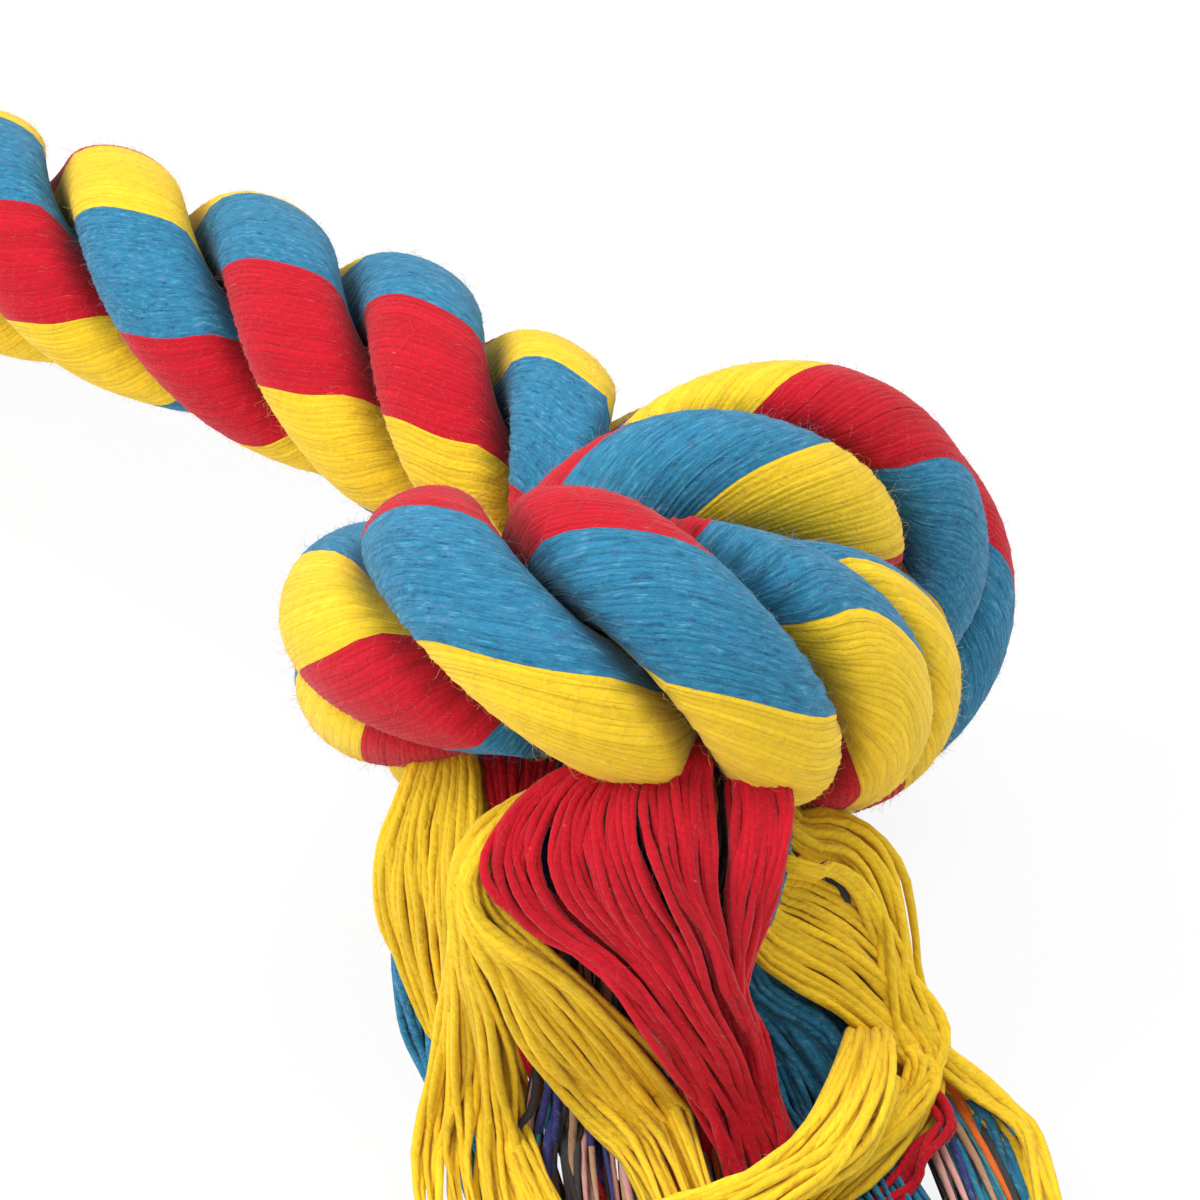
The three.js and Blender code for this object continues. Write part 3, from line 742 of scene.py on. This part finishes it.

# The tassel of the right-hand knot. Each lock of yarns fills the sheet between its lines, two or three of
# them. A line starts in the knot's mouth, "from" a place in millimetres, and goes on through points "seen" in
# the photo: the pixel across, the pixel down and a height in millimetres. The last bundle
# of the right-hand yellow lock has no "from": it comes up from under the others. "groups" share out the yarns
# of a parted lock: from and to across its sheet, and the share of the yarns.
tassel = {
    "yarn": 0.00039,  # radius
    "sides": 6,
    "stations": 30,
    "swingOver": 0.030,  # how far from the mouth a lock takes up its tail's swing
    "place": (0.3, 0.7),  # where a yarn lies in its own share of the sheet
    "onTop": (0.4, 0.5),  # the layer of every second yarn, against the thickness
    "below": (-0.5, 0.3),  # and of the others
    "reach": (0.95, 1.0),  # how far along the lines a yarn ends
    "packing": 1.15,
    "pile": (0.2, 6),  # the least and the most of the layers, in yarns
    "stray": 0.0005,
    "strayAtMouth": 0.1,
    "waveTerms": 4,
    "strayWaves": (0.25, 0.9),  # the shortest and the longest, against the yarn's length
    "clear": 1.2,  # of the floor, in radii
    "uneven": 0.12,
    "unevenWaves": (0.1, 0.4),
    "ownThickness": (0.88, 1.12),
    "ownTint": (0.88, 1.08),
    "tipTaper": 12,  # how steeply a tip narrows
    "tip": 0.45,  # and to what
    "mapStart": (0, 0.5),  # where the map along a yarn starts, in metres
    "capPlace": 0.25,  # the place in the map that a yarn's ends take
    "locks": {
        ("left", "yellow"): [
            {
                "yarns": 54,
                "from": ((114, -29, 34), (116.5, -29.5, 34.5)),
                "seen": (
                    [(440, 745, 31), (408, 797, 29), (387, 830, 26.5), (381, 868, 23), (387, 910, 18.5),
                     (403, 948, 14.5), (430, 996, 10.5), (455, 1030, 8), (475, 1085, 5.5),
                     (488, 1145, 5.5), (515, 1230, 5), (560, 1370, 4.5)],
                    [(487, 740, 32), (486, 781, 31), (488, 815, 29.5), (489, 860, 27), (490, 905, 23),
                     (489, 950, 18.5), (489, 1000, 14), (497, 1045, 10), (512, 1095, 7), (528, 1150, 6),
                     (570, 1235, 5.5), (640, 1365, 4.5)],
                ),
            },
        ],
        ("left", "red"): [
            {
                "yarns": 18,
                "from": ((116, -30, 34), (119, -30, 34)),
                "seen": (
                    [(490, 735, 33), (488, 778, 31.5), (494, 815, 29), (500, 870, 25), (505, 930, 20),
                     (515, 1000, 14), (535, 1080, 8), (565, 1160, 4), (650, 1370, 1.2)],
                    [(565, 735, 33.5), (555, 775, 32), (540, 810, 29.5), (540, 870, 25), (545, 930, 20),
                     (555, 1000, 14), (575, 1080, 8), (605, 1160, 4), (705, 1360, 1.2)],
                ),
            },
        ],
        ("left", "blue"): [
            {
                "yarns": 30,
                "from": ((112.5, -29, 31), (115, -29, 31)),
                "seen": (
                    [(446, 800, 22), (424, 860, 17), (407, 910, 13.5), (397, 950, 10.5), (400, 995, 7.5),
                     (412, 1040, 5), (428, 1085, 3.4), (450, 1150, 2), (485, 1240, 1.4), (535, 1370, 1.2)],
                    [(500, 800, 23), (492, 860, 18), (482, 910, 14.5), (474, 955, 11.5), (474, 1005, 8.5),
                     (480, 1050, 5.8), (490, 1095, 3.8), (512, 1160, 2.2), (560, 1245, 1.5),
                     (630, 1360, 1.2)],
                ),
            },
        ],
        ("left", "core"): [
            {
                "yarns": 26,
                "from": ((113.5, -29.5, 32.5), (116, -29.5, 32.5)),
                "seen": (
                    [(430, 790, 27), (410, 850, 21), (410, 910, 16), (430, 970, 11.5), (455, 1030, 7.5),
                     (480, 1100, 4), (510, 1180, 2), (580, 1370, 1.2)],
                    [(490, 790, 29), (480, 850, 24), (480, 910, 19), (490, 970, 14), (505, 1035, 9),
                     (525, 1105, 5), (555, 1185, 2.4), (650, 1370, 1.2)],
                ),
            },
        ],
        ("centre", "yellow"): [
            {
                "yarns": 32,
                "from": ((121.5, -32.5, 38), (122.3, -32.5, 38)),
                "seen": (
                    [(590, 775, 36.5), (548, 803, 35.5), (508, 822, 35), (480, 850, 34.5),
                     (472, 884, 32.5), (473, 922, 28.5), (466, 965, 23.5), (452, 1015, 18),
                     (437, 1070, 12.5), (423, 1125, 8), (412, 1190, 7), (440, 1330, 6)],
                    [(598, 785, 36.2), (560, 815, 35.2), (520, 834, 34.8), (489, 858, 34.6),
                     (483, 886, 33.2), (487, 922, 30), (494, 962, 26), (505, 1012, 20.5),
                     (514, 1066, 14.5), (522, 1122, 9.5), (530, 1188, 7), (565, 1330, 6)],
                ),
            },
            {
                "yarns": 30,
                "from": ((122, -32.5, 38), (122.5, -32.5, 38)),
                "seen": (
                    [(594, 780, 36.4), (555, 810, 35.3), (515, 830, 35), (487, 856, 34.6), (481, 886, 33),
                     (487, 922, 29.8), (500, 968, 25.5), (516, 1025, 20), (545, 1075, 14.5),
                     (583, 1122, 10.5), (635, 1180, 8.5), (705, 1335, 6.5)],
                    [(598, 785, 36.2), (560, 815, 35.2), (525, 838, 34.8), (497, 862, 34.6),
                     (491, 888, 33.5), (507, 915, 31.5), (545, 945, 29), (592, 987, 24.5), (642, 1042, 18),
                     (677, 1095, 11.5), (697, 1155, 9), (755, 1340, 7)],
                ),
            },
        ],
        ("centre", "red"): [
            {
                "yarns": 88,
                "groups": ((0, 0.15, 0.18), (0.19, 0.45, 0.28), (0.475, 0.72, 0.26), (0.8, 1, 0.28)),
                "from": ((119.5, -33, 40.5), (122.5, -31.5, 41.2), (125.5, -30, 40.5)),
                "seen": (
                    [(600, 765, 40), (558, 782, 39.5), (520, 807, 38.2), (497, 836, 37), (489, 864, 35.5),
                     (500, 896, 33.5), (541, 931, 30.5), (605, 975, 27.5), (655, 1030, 21.5),
                     (690, 1085, 14.5), (708, 1140, 9.5), (724, 1205, 5), (775, 1380, 1.2)],
                    [(652, 762, 41), (649, 785, 40.6), (647, 809, 40), (651, 834, 39), (659, 860, 37.5),
                     (674, 897, 34.5), (699, 941, 30.2), (708, 982, 25.8), (722, 1028, 20),
                     (740, 1070, 15), (758, 1115, 10.5), (785, 1185, 5), (850, 1360, 1.2)],
                    [(770, 760, 40.5), (783, 785, 39.5), (789, 815, 38), (787, 848, 36.5),
                     (778, 880, 34.2), (764, 912, 31), (745, 948, 27.5), (727, 985, 24), (728, 1022, 19.5),
                     (746, 1065, 15), (768, 1110, 10.5), (808, 1180, 5), (885, 1340, 1.2)],
                ),
            },
        ],
        ("centre", "blue"): [
            {
                "yarns": 44,
                "from": ((124, -30, 38), (126, -29, 38)),
                "seen": (
                    [(690, 790, 34), (702, 820, 32), (708, 850, 29), (708, 890, 25), (710, 930, 20.5),
                     (722, 972, 17), (742, 1020, 13), (770, 1070, 9), (795, 1130, 5.5), (835, 1200, 3),
                     (920, 1350, 1.2)],
                    [(772, 780, 35), (787, 810, 33), (791, 842, 30), (782, 885, 26), (770, 930, 21.5),
                     (768, 967, 18.5), (822, 1010, 14), (862, 1062, 10), (885, 1120, 6.5),
                     (915, 1190, 3.5), (990, 1330, 1.2)],
                ),
            },
        ],
        ("centre", "core"): [
            {
                "yarns": 90,
                "from": ((120.5, -32.5, 37.5), (124.5, -31, 37.5)),
                "seen": (
                    [(565, 760, 37), (530, 820, 34), (510, 870, 30.5), (515, 920, 26), (525, 980, 20.5),
                     (530, 1040, 15), (525, 1100, 10), (515, 1170, 5.5), (520, 1390, 1.2)],
                    [(750, 770, 37.5), (772, 830, 34), (768, 880, 30.5), (748, 935, 26), (730, 985, 21.5),
                     (735, 1035, 17), (757, 1085, 12), (775, 1150, 7), (840, 1390, 1.2)],
                ),
            },
        ],
        ("right", "yellow"): [
            {
                "yarns": 30,
                "from": ((123, -23.5, 33), (123, -22.5, 34)),
                "seen": (
                    [(773, 808, 30), (794, 838, 28.2), (820, 838, 27.2), (848, 852, 25.5),
                     (866, 882, 22.5), (872, 925, 18.5), (880, 965, 15.5), (898, 1005, 13),
                     (912, 1050, 10.5), (910, 1085, 9), (892, 1118, 7.5), (850, 1160, 6), (800, 1200, 5),
                     (740, 1245, 3)],
                    [(778, 798, 30.8), (803, 826, 29.4), (838, 828, 28.6), (870, 846, 27), (893, 882, 24),
                     (906, 932, 19.5), (910, 990, 15.5), (922, 1030, 13), (937, 1060, 10.5),
                     (938, 1092, 9), (922, 1130, 7.5), (880, 1172, 6), (830, 1215, 4.5), (770, 1260, 2.5)],
                ),
            },
            {
                "yarns": 30,
                "from": ((123.5, -24.5, 33), (123.5, -23.5, 32)),
                "seen": (
                    [(765, 850, 28), (782, 872, 26.6), (808, 877, 25.8), (837, 893, 24), (866, 925, 20),
                     (897, 962, 16.5), (923, 1003, 13), (938, 1045, 10.5), (935, 1085, 9), (905, 1125, 8),
                     (860, 1165, 6.5), (800, 1205, 5)],
                    [(745, 900, 24), (750, 952, 21), (790, 985, 18), (832, 1007, 15.5), (862, 1030, 13.5),
                     (885, 1050, 12), (900, 1068, 10.5), (902, 1085, 9.5), (890, 1105, 8.5),
                     (868, 1130, 7.5), (830, 1160, 6.5), (780, 1195, 5)],
                ),
            },
            {
                "yarns": 12,
                "from": ((123.5, -23.5, 33.5), (123.5, -24, 33.5)),
                "seen": (
                    [(778, 845, 29), (812, 856, 27.5), (846, 874, 25), (872, 910, 21), (893, 953, 17),
                     (912, 1000, 14), (938, 1045, 10.5), (985, 1088, 7), (1025, 1130, 5.5),
                     (1040, 1175, 5), (1065, 1250, 4.5), (1100, 1330, 4.5)],
                    [(774, 852, 28.5), (805, 866, 27), (834, 886, 24.5), (857, 922, 20.5),
                     (877, 964, 16.5), (895, 1012, 13.5), (922, 1058, 10), (968, 1102, 6.8),
                     (1010, 1142, 5.4), (1028, 1186, 5), (1046, 1262, 4.5), (1075, 1344, 4.5)],
                ),
            },
            {
                "yarns": 30,
                "seen": (
                    [(880, 1095, 3.5), (868, 1070, 7), (856, 1056, 10.5), (845, 1064, 13),
                     (826, 1095, 13.5), (805, 1133, 13), (762, 1167, 12), (705, 1188, 11),
                     (640, 1210, 9.5), (570, 1270, 7), (540, 1360, 5)],
                    [(905, 1100, 3.5), (895, 1072, 7), (888, 1056, 10.5), (893, 1062, 13),
                     (890, 1095, 13.5), (874, 1135, 13), (848, 1168, 12), (800, 1203, 10.5),
                     (740, 1240, 8.5), (680, 1300, 6), (650, 1400, 4)],
                ),
            },
        ],
        ("right", "blue"): [
            {
                "yarns": 40,
                "from": ((122.5, -23, 31), (124, -22, 31)),
                "seen": (
                    [(760, 860, 20), (790, 930, 15), (830, 985, 11), (880, 1040, 7.5), (925, 1090, 5),
                     (945, 1130, 3.8), (960, 1180, 2.6), (1030, 1330, 1.2)],
                    [(790, 850, 21), (830, 920, 16), (870, 970, 12.5), (910, 1020, 9), (960, 1075, 5.5),
                     (1005, 1120, 4), (1032, 1175, 2.6), (1100, 1320, 1.2)],
                ),
            },
        ],
        ("right", "red"): [
            {
                "yarns": 5,
                "from": ((122.5, -23.5, 30), (123.5, -23, 30)),
                "seen": (
                    [(770, 880, 18), (800, 950, 13), (850, 1020, 9), (905, 1080, 7), (935, 1108, 7.5),
                     (945, 1130, 7), (918, 1150, 6.5), (900, 1180, 5), (870, 1205, 4), (830, 1240, 2)],
                    [(785, 880, 18), (815, 950, 13), (865, 1020, 9), (918, 1078, 7.5), (947, 1105, 8.2),
                     (956, 1130, 7.5), (930, 1160, 6.5), (920, 1190, 5), (890, 1222, 3.5), (850, 1262, 2)],
                ),
            },
        ],
        ("right", "core"): [
            {
                "yarns": 34,
                "from": ((122.5, -24, 32.5), (124, -22.5, 32.5)),
                "seen": (
                    [(755, 860, 25), (755, 910, 20), (772, 960, 16), (798, 1005, 12.5), (838, 1050, 9),
                     (890, 1110, 5.5), (925, 1160, 3.2), (985, 1320, 1.2)],
                    [(830, 860, 26), (855, 905, 21.5), (865, 950, 17.5), (880, 990, 14), (910, 1035, 10),
                     (955, 1090, 6), (990, 1150, 3.4), (1070, 1310, 1.2)],
                ),
            },
        ],
    },
    # The yarns inside a tail are drawn from these
    "coreColours": (
        "charcoal", "charcoal", "charcoal", "tan", "charcoal", "teal", "tan", "orange", "navy", "pink",
    ),
    # The number that each tail has in the frame
    "tails": {"right": {"centre": 1, "left": 2, "right": 3}, "left": {"centre": 1, "right": 2, "left": 3}},
}


def photoPlace(seen):
    # Where the line of sight through a pixel comes down to the given height: the camera's place plus
    # (height - camera's height) / (fall of the sight line) times that line
    eye = np.array(cameraPlace["at"])
    ahead = unit(np.array(cameraPlace["target"]) - eye)
    right = unit(np.cross(ahead, (0, 0, 1)))
    focal = cameraPlace["lens"] / cameraPlace["sensor"] * cameraPlace["photo"]
    across, down = (seen[:, :2].T - cameraPlace["photo"] / 2) / focal
    sight = ahead + across[:, None] * right - down[:, None] * np.cross(right, ahead)
    return eye + sight * ((seen[:, 2] * mm - eye[2]) / sight[:, 2])[:, None]


def lockLines(lock):
    lines = np.stack([photoPlace(np.array(seen)) for seen in lock["seen"]])
    if "from" not in lock:
        return lines
    return np.concatenate([np.array(lock["from"])[:, None] * mm, lines], 1)


def lineAt(points, t):
    # Catmull-Rom through the points at t from 0 to 1: half of 2p1 + slope f + bend f^2 + twist f^3
    last = len(points) - 1
    place = np.clip(t, 0, 1) * last
    i = np.minimum(place.astype(int), last - 1)
    f = (place - i)[..., None]
    p0, p1, p2, p3 = (points[np.clip(i + n, 0, last)] for n in (-1, 0, 1, 2))
    slope = p2 - p0
    bend = 2 * p0 - 5 * p1 + 4 * p2 - p3
    twist = 3 * p1 - p0 - 3 * p2 + p3
    return 0.5 * (2 * p1 + slope * f + bend * f**2 + twist * f**3)


def yarnWaves(steps, count, shortest, longest):
    return waveSum(steps, *drawWaves(tassel["waveTerms"], count, shortest, longest)).T


def yarnPaths(lock):
    # A yarn keeps its place across the sheet between two of its lines, and where the sheet is narrower than
    # its yarns it piles up: thickness = yarns * diameter^2 / width. Every second yarn lies on top, side by
    # side with the next. All stray a little more towards their tips.
    count = lock["yarns"]
    across = (np.arange(count) + rng.uniform(*tassel["place"], count)) / count
    if "groups" in lock:
        low, high, share = np.array(lock["groups"]).T
        reached = np.concatenate([[0], np.cumsum(share)])
        hair = 1e-6  # by which one group ends before the next starts
        shares = np.sort(np.concatenate([reached[:-1], reached[1:] - hair]))
        across = np.interp(across, shares, np.stack([low, high], -1).ravel())
    onTop = rng.uniform(*tassel["onTop"], count)
    below = rng.uniform(*tassel["below"], count)
    layer = np.where(np.arange(count) % 2 == 0, onTop, below)
    reach = rng.uniform(*tassel["reach"], count)
    t = np.linspace(0, 1, tassel["stations"])[None] * reach[:, None]
    lines = np.stack([lineAt(line, t) for line in lockLines(lock)])
    place = across * (len(lines) - 1)
    first = place.astype(int)
    each = np.arange(count)
    sheet = lines[first + 1, each] - lines[first, each]
    path = lines[first, each] + sheet * (place - first)[:, None, None]
    width = np.linalg.norm(np.diff(lines, axis=0), axis=-1).sum(0)[..., None]
    facing = unit(np.cross(unit(np.gradient(path, axis=1)), sheet))
    facing = facing * np.sign(facing[..., 2].mean())
    diameter = 2 * tassel["yarn"]
    least, most = tassel["pile"]
    thick = tassel["packing"] * count * diameter**2 / width - diameter
    thick = np.clip(thick, least * diameter, most * diameter)
    steps = np.linspace(0, 1, tassel["stations"])
    stray = np.stack([yarnWaves(steps, count, *tassel["strayWaves"]) for _ in range(3)], -1)
    stray = stray * (tassel["strayAtMouth"] + steps[None, :, None]) * tassel["stray"]
    path = path + facing * thick * layer[:, None, None] + stray
    path[..., 2] = np.maximum(path[..., 2], tassel["yarn"] * tassel["clear"])
    return path, facing


def yarnTubes(path, facing, tint, number):
    # A round profile carried along each path, thicker and thinner by turns, drawn to a blunt point at its end
    count, stations = path.shape[:2]
    sides = tassel["sides"]
    heading = unit(np.gradient(path, axis=1))
    up = unit(facing - heading * (facing * heading).sum(-1, keepdims=True))
    beside = np.cross(heading, up)
    steps = np.linspace(0, 1, stations)
    taper = np.clip((1 - steps) * tassel["tipTaper"], tassel["tip"], 1)
    uneven = 1 + tassel["uneven"] * yarnWaves(steps, count, *tassel["unevenWaves"])
    radius = tassel["yarn"] * taper * uneven * rng.uniform(*tassel["ownThickness"], (count, 1))
    turn = 2 * np.pi * np.arange(sides) / sides
    ring = np.cos(turn)[:, None] * up[:, :, None] + np.sin(turn)[:, None] * beside[:, :, None]
    points = path[:, :, None] + ring * radius[..., None, None]
    perYarn = stations * sides + 2
    points = np.concatenate([points.reshape(count, -1, 3), path[:, :1], path[:, -1:]], 1)
    first = perYarn * np.arange(count)[:, None, None]
    i, j, quad = gridQuads(stations, sides)
    quads = (first + quad).reshape(-1, 4)
    tris = (first + np.concatenate(gridCaps(stations, sides))).reshape(-1, 3)
    run = np.linalg.norm(np.diff(path, axis=1), axis=2).mean() * np.arange(stations)
    offset = rng.uniform(*tassel["mapStart"], count)
    v = offset[:, None] + run[None]
    u = j / sides
    numbers = number + np.arange(count)[:, None, None]
    cornerU = np.stack([u, u + 1 / sides, u + 1 / sides, u], -1) + numbers
    cornerV = np.stack([v[:, i], v[:, i], v[:, i + 1], v[:, i + 1]], -1)
    capUv = np.full((3 * len(tris), 2), tassel["capPlace"])
    uv = np.concatenate([np.stack([cornerU, cornerV], -1).reshape(-1, 2), capUv])
    at = rng.integers(1, stations - 1, (count, fuzz["perYarn"]))
    spoke = rng.integers(0, sides, (count, fuzz["perYarn"]))
    one = np.arange(count)[:, None]
    tuft = (points[one, at * sides + spoke], ring[one, at, spoke], heading[one, at])
    tuft = [values.reshape(-1, 3) for values in tuft]
    return points.reshape(-1, 3), quads, tris, uv, np.repeat(tint, perYarn, axis=0), tuft


def lockPiece(side, tail, colour):
    parts = []
    total = 0
    number = 0
    tufts = []
    for lock in tassel["locks"][(tail, colour)]:
        path, facing = yarnPaths(lock)
        count = lock["yarns"]
        names = [colour] * count if colour != "core" else list(rng.choice(tassel["coreColours"], count))
        tint = np.array([palette[n] for n in names]) * rng.uniform(*tassel["ownTint"], (count, 1))
        if side == "left":
            path = path * np.array([-1, -1, 1])
            facing = facing * np.array([-1, -1, 1])
        points, quads, tris, uv, tints, tuft = yarnTubes(path, facing, tint, number)
        parts.append((points, quads + total, tris + total, uv, tints))
        tufts.append((*tuft, np.repeat(tint, fuzz["perYarn"], axis=0)))
        total += len(points)
        number += count
    base, out, lengthwise, tint = (np.concatenate(column) for column in zip(*tufts))
    fibre, fibreQuads, fibreTris, fibreTint = fibreSpikes(base, out, lengthwise, tint, total)
    yarnPoints, yarnQuads, yarnTris, yarnUv, yarnTints = zip(*parts)
    points = np.concatenate([*yarnPoints, fibre])
    tints = np.concatenate([*yarnTints, fibreTint])
    faces = [f for pair in zip(yarnQuads, yarnTris) for f in pair] + [fibreQuads, fibreTris]
    fibres = len(fibreQuads) + len(fibreTris)
    uv = np.concatenate([*yarnUv, np.zeros((4 * len(fibreQuads) + 3 * len(fibreTris), 2))])
    yarnFaces = sum(len(f) for f in faces) - fibres
    finishIndex = np.repeat([0, 1], [yarnFaces, fibres])
    flat = np.zeros(len(finishIndex), bool)
    name = f"{side}_{tail}_{colour}_yarns"
    return meshPiece(name, points, faces, uv, tints, finishIndex, flat, ("loose", "fuzz"))


def makeTassels():
    for side, way in (("right", 1), ("left", -1)):
        for tail, colour in tassel["locks"]:
            piece = lockPiece(side, tail, colour)
            number = tassel["tails"][side][tail]
            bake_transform(piece)
            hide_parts(f"{side}_tail_{number}_{colour}")
        print(side, "tassel spread")


makeTassels()

# A pale floor and soft light all round
studio = {
    "floorSize": 6.0,
    "floorColour": (0.92, 0.92, 0.92, 1),
    "floorGlow": 0.9,  # how white the camera sees the floor
    "worldLight": 0.6,
    "key": {"at": (-0.25, -0.55, 0.75), "size": 0.5, "power": 6.5},
    "top": {"at": (0.25, 0.15, 0.80), "size": 0.6, "power": 3.5},
}


def makeStudio():
    half = studio["floorSize"] / 2
    mesh = bpy.data.meshes.new("floor")
    corners = [(-half, -half, 0), (half, -half, 0), (half, half, 0), (-half, half, 0)]
    mesh.from_pydata(corners, [], [(0, 1, 2, 3)])
    floor = bpy.data.objects.new("floor", mesh)
    bpy.context.scene.collection.objects.link(floor)
    n = Nodes("pale_floor")
    matt = n.add("ShaderNodeBsdfDiffuse", {"Color": studio["floorColour"]})
    glow = n.add("ShaderNodeEmission", {"Color": (1, 1, 1, 1), "Strength": 1.0})
    seen = n.add("ShaderNodeLightPath", None, "Is Camera Ray")
    shown = n.add("ShaderNodeMixShader", {0: n.math("MULTIPLY", seen, studio["floorGlow"]), 1: matt, 2: glow})
    mesh.materials.append(n.surface(shown))
    world = bpy.data.worlds.new("studio")
    world.use_nodes = True
    tree = world.node_tree
    back = tree.nodes["Background"]
    path = tree.nodes.new("ShaderNodeLightPath")
    level = tree.nodes.new("ShaderNodeMapRange")
    level.inputs["To Min"].default_value = studio["worldLight"]
    level.inputs["To Max"].default_value = 1.0
    tree.links.new(path.outputs["Is Camera Ray"], level.inputs["Value"])
    tree.links.new(level.outputs["Result"], back.inputs["Strength"])
    back.inputs["Color"].default_value = (1, 1, 1, 1)
    bpy.context.scene.world = world
    for name in ("key", "top"):
        lamp = bpy.data.lights.new(name, "AREA")
        lamp.size = studio[name]["size"]
        lamp.energy = studio[name]["power"]
        holder = bpy.data.objects.new(name + "_light", lamp)
        holder.location = studio[name]["at"]
        aim = Vector(cameraPlace["target"]) - holder.location
        holder.rotation_euler = aim.to_track_quat("-Z", "Y").to_euler()
        bpy.context.scene.collection.objects.link(holder)
    bpy.context.scene.view_settings.view_transform = "Standard"


makeStudio()
print("studio lit")
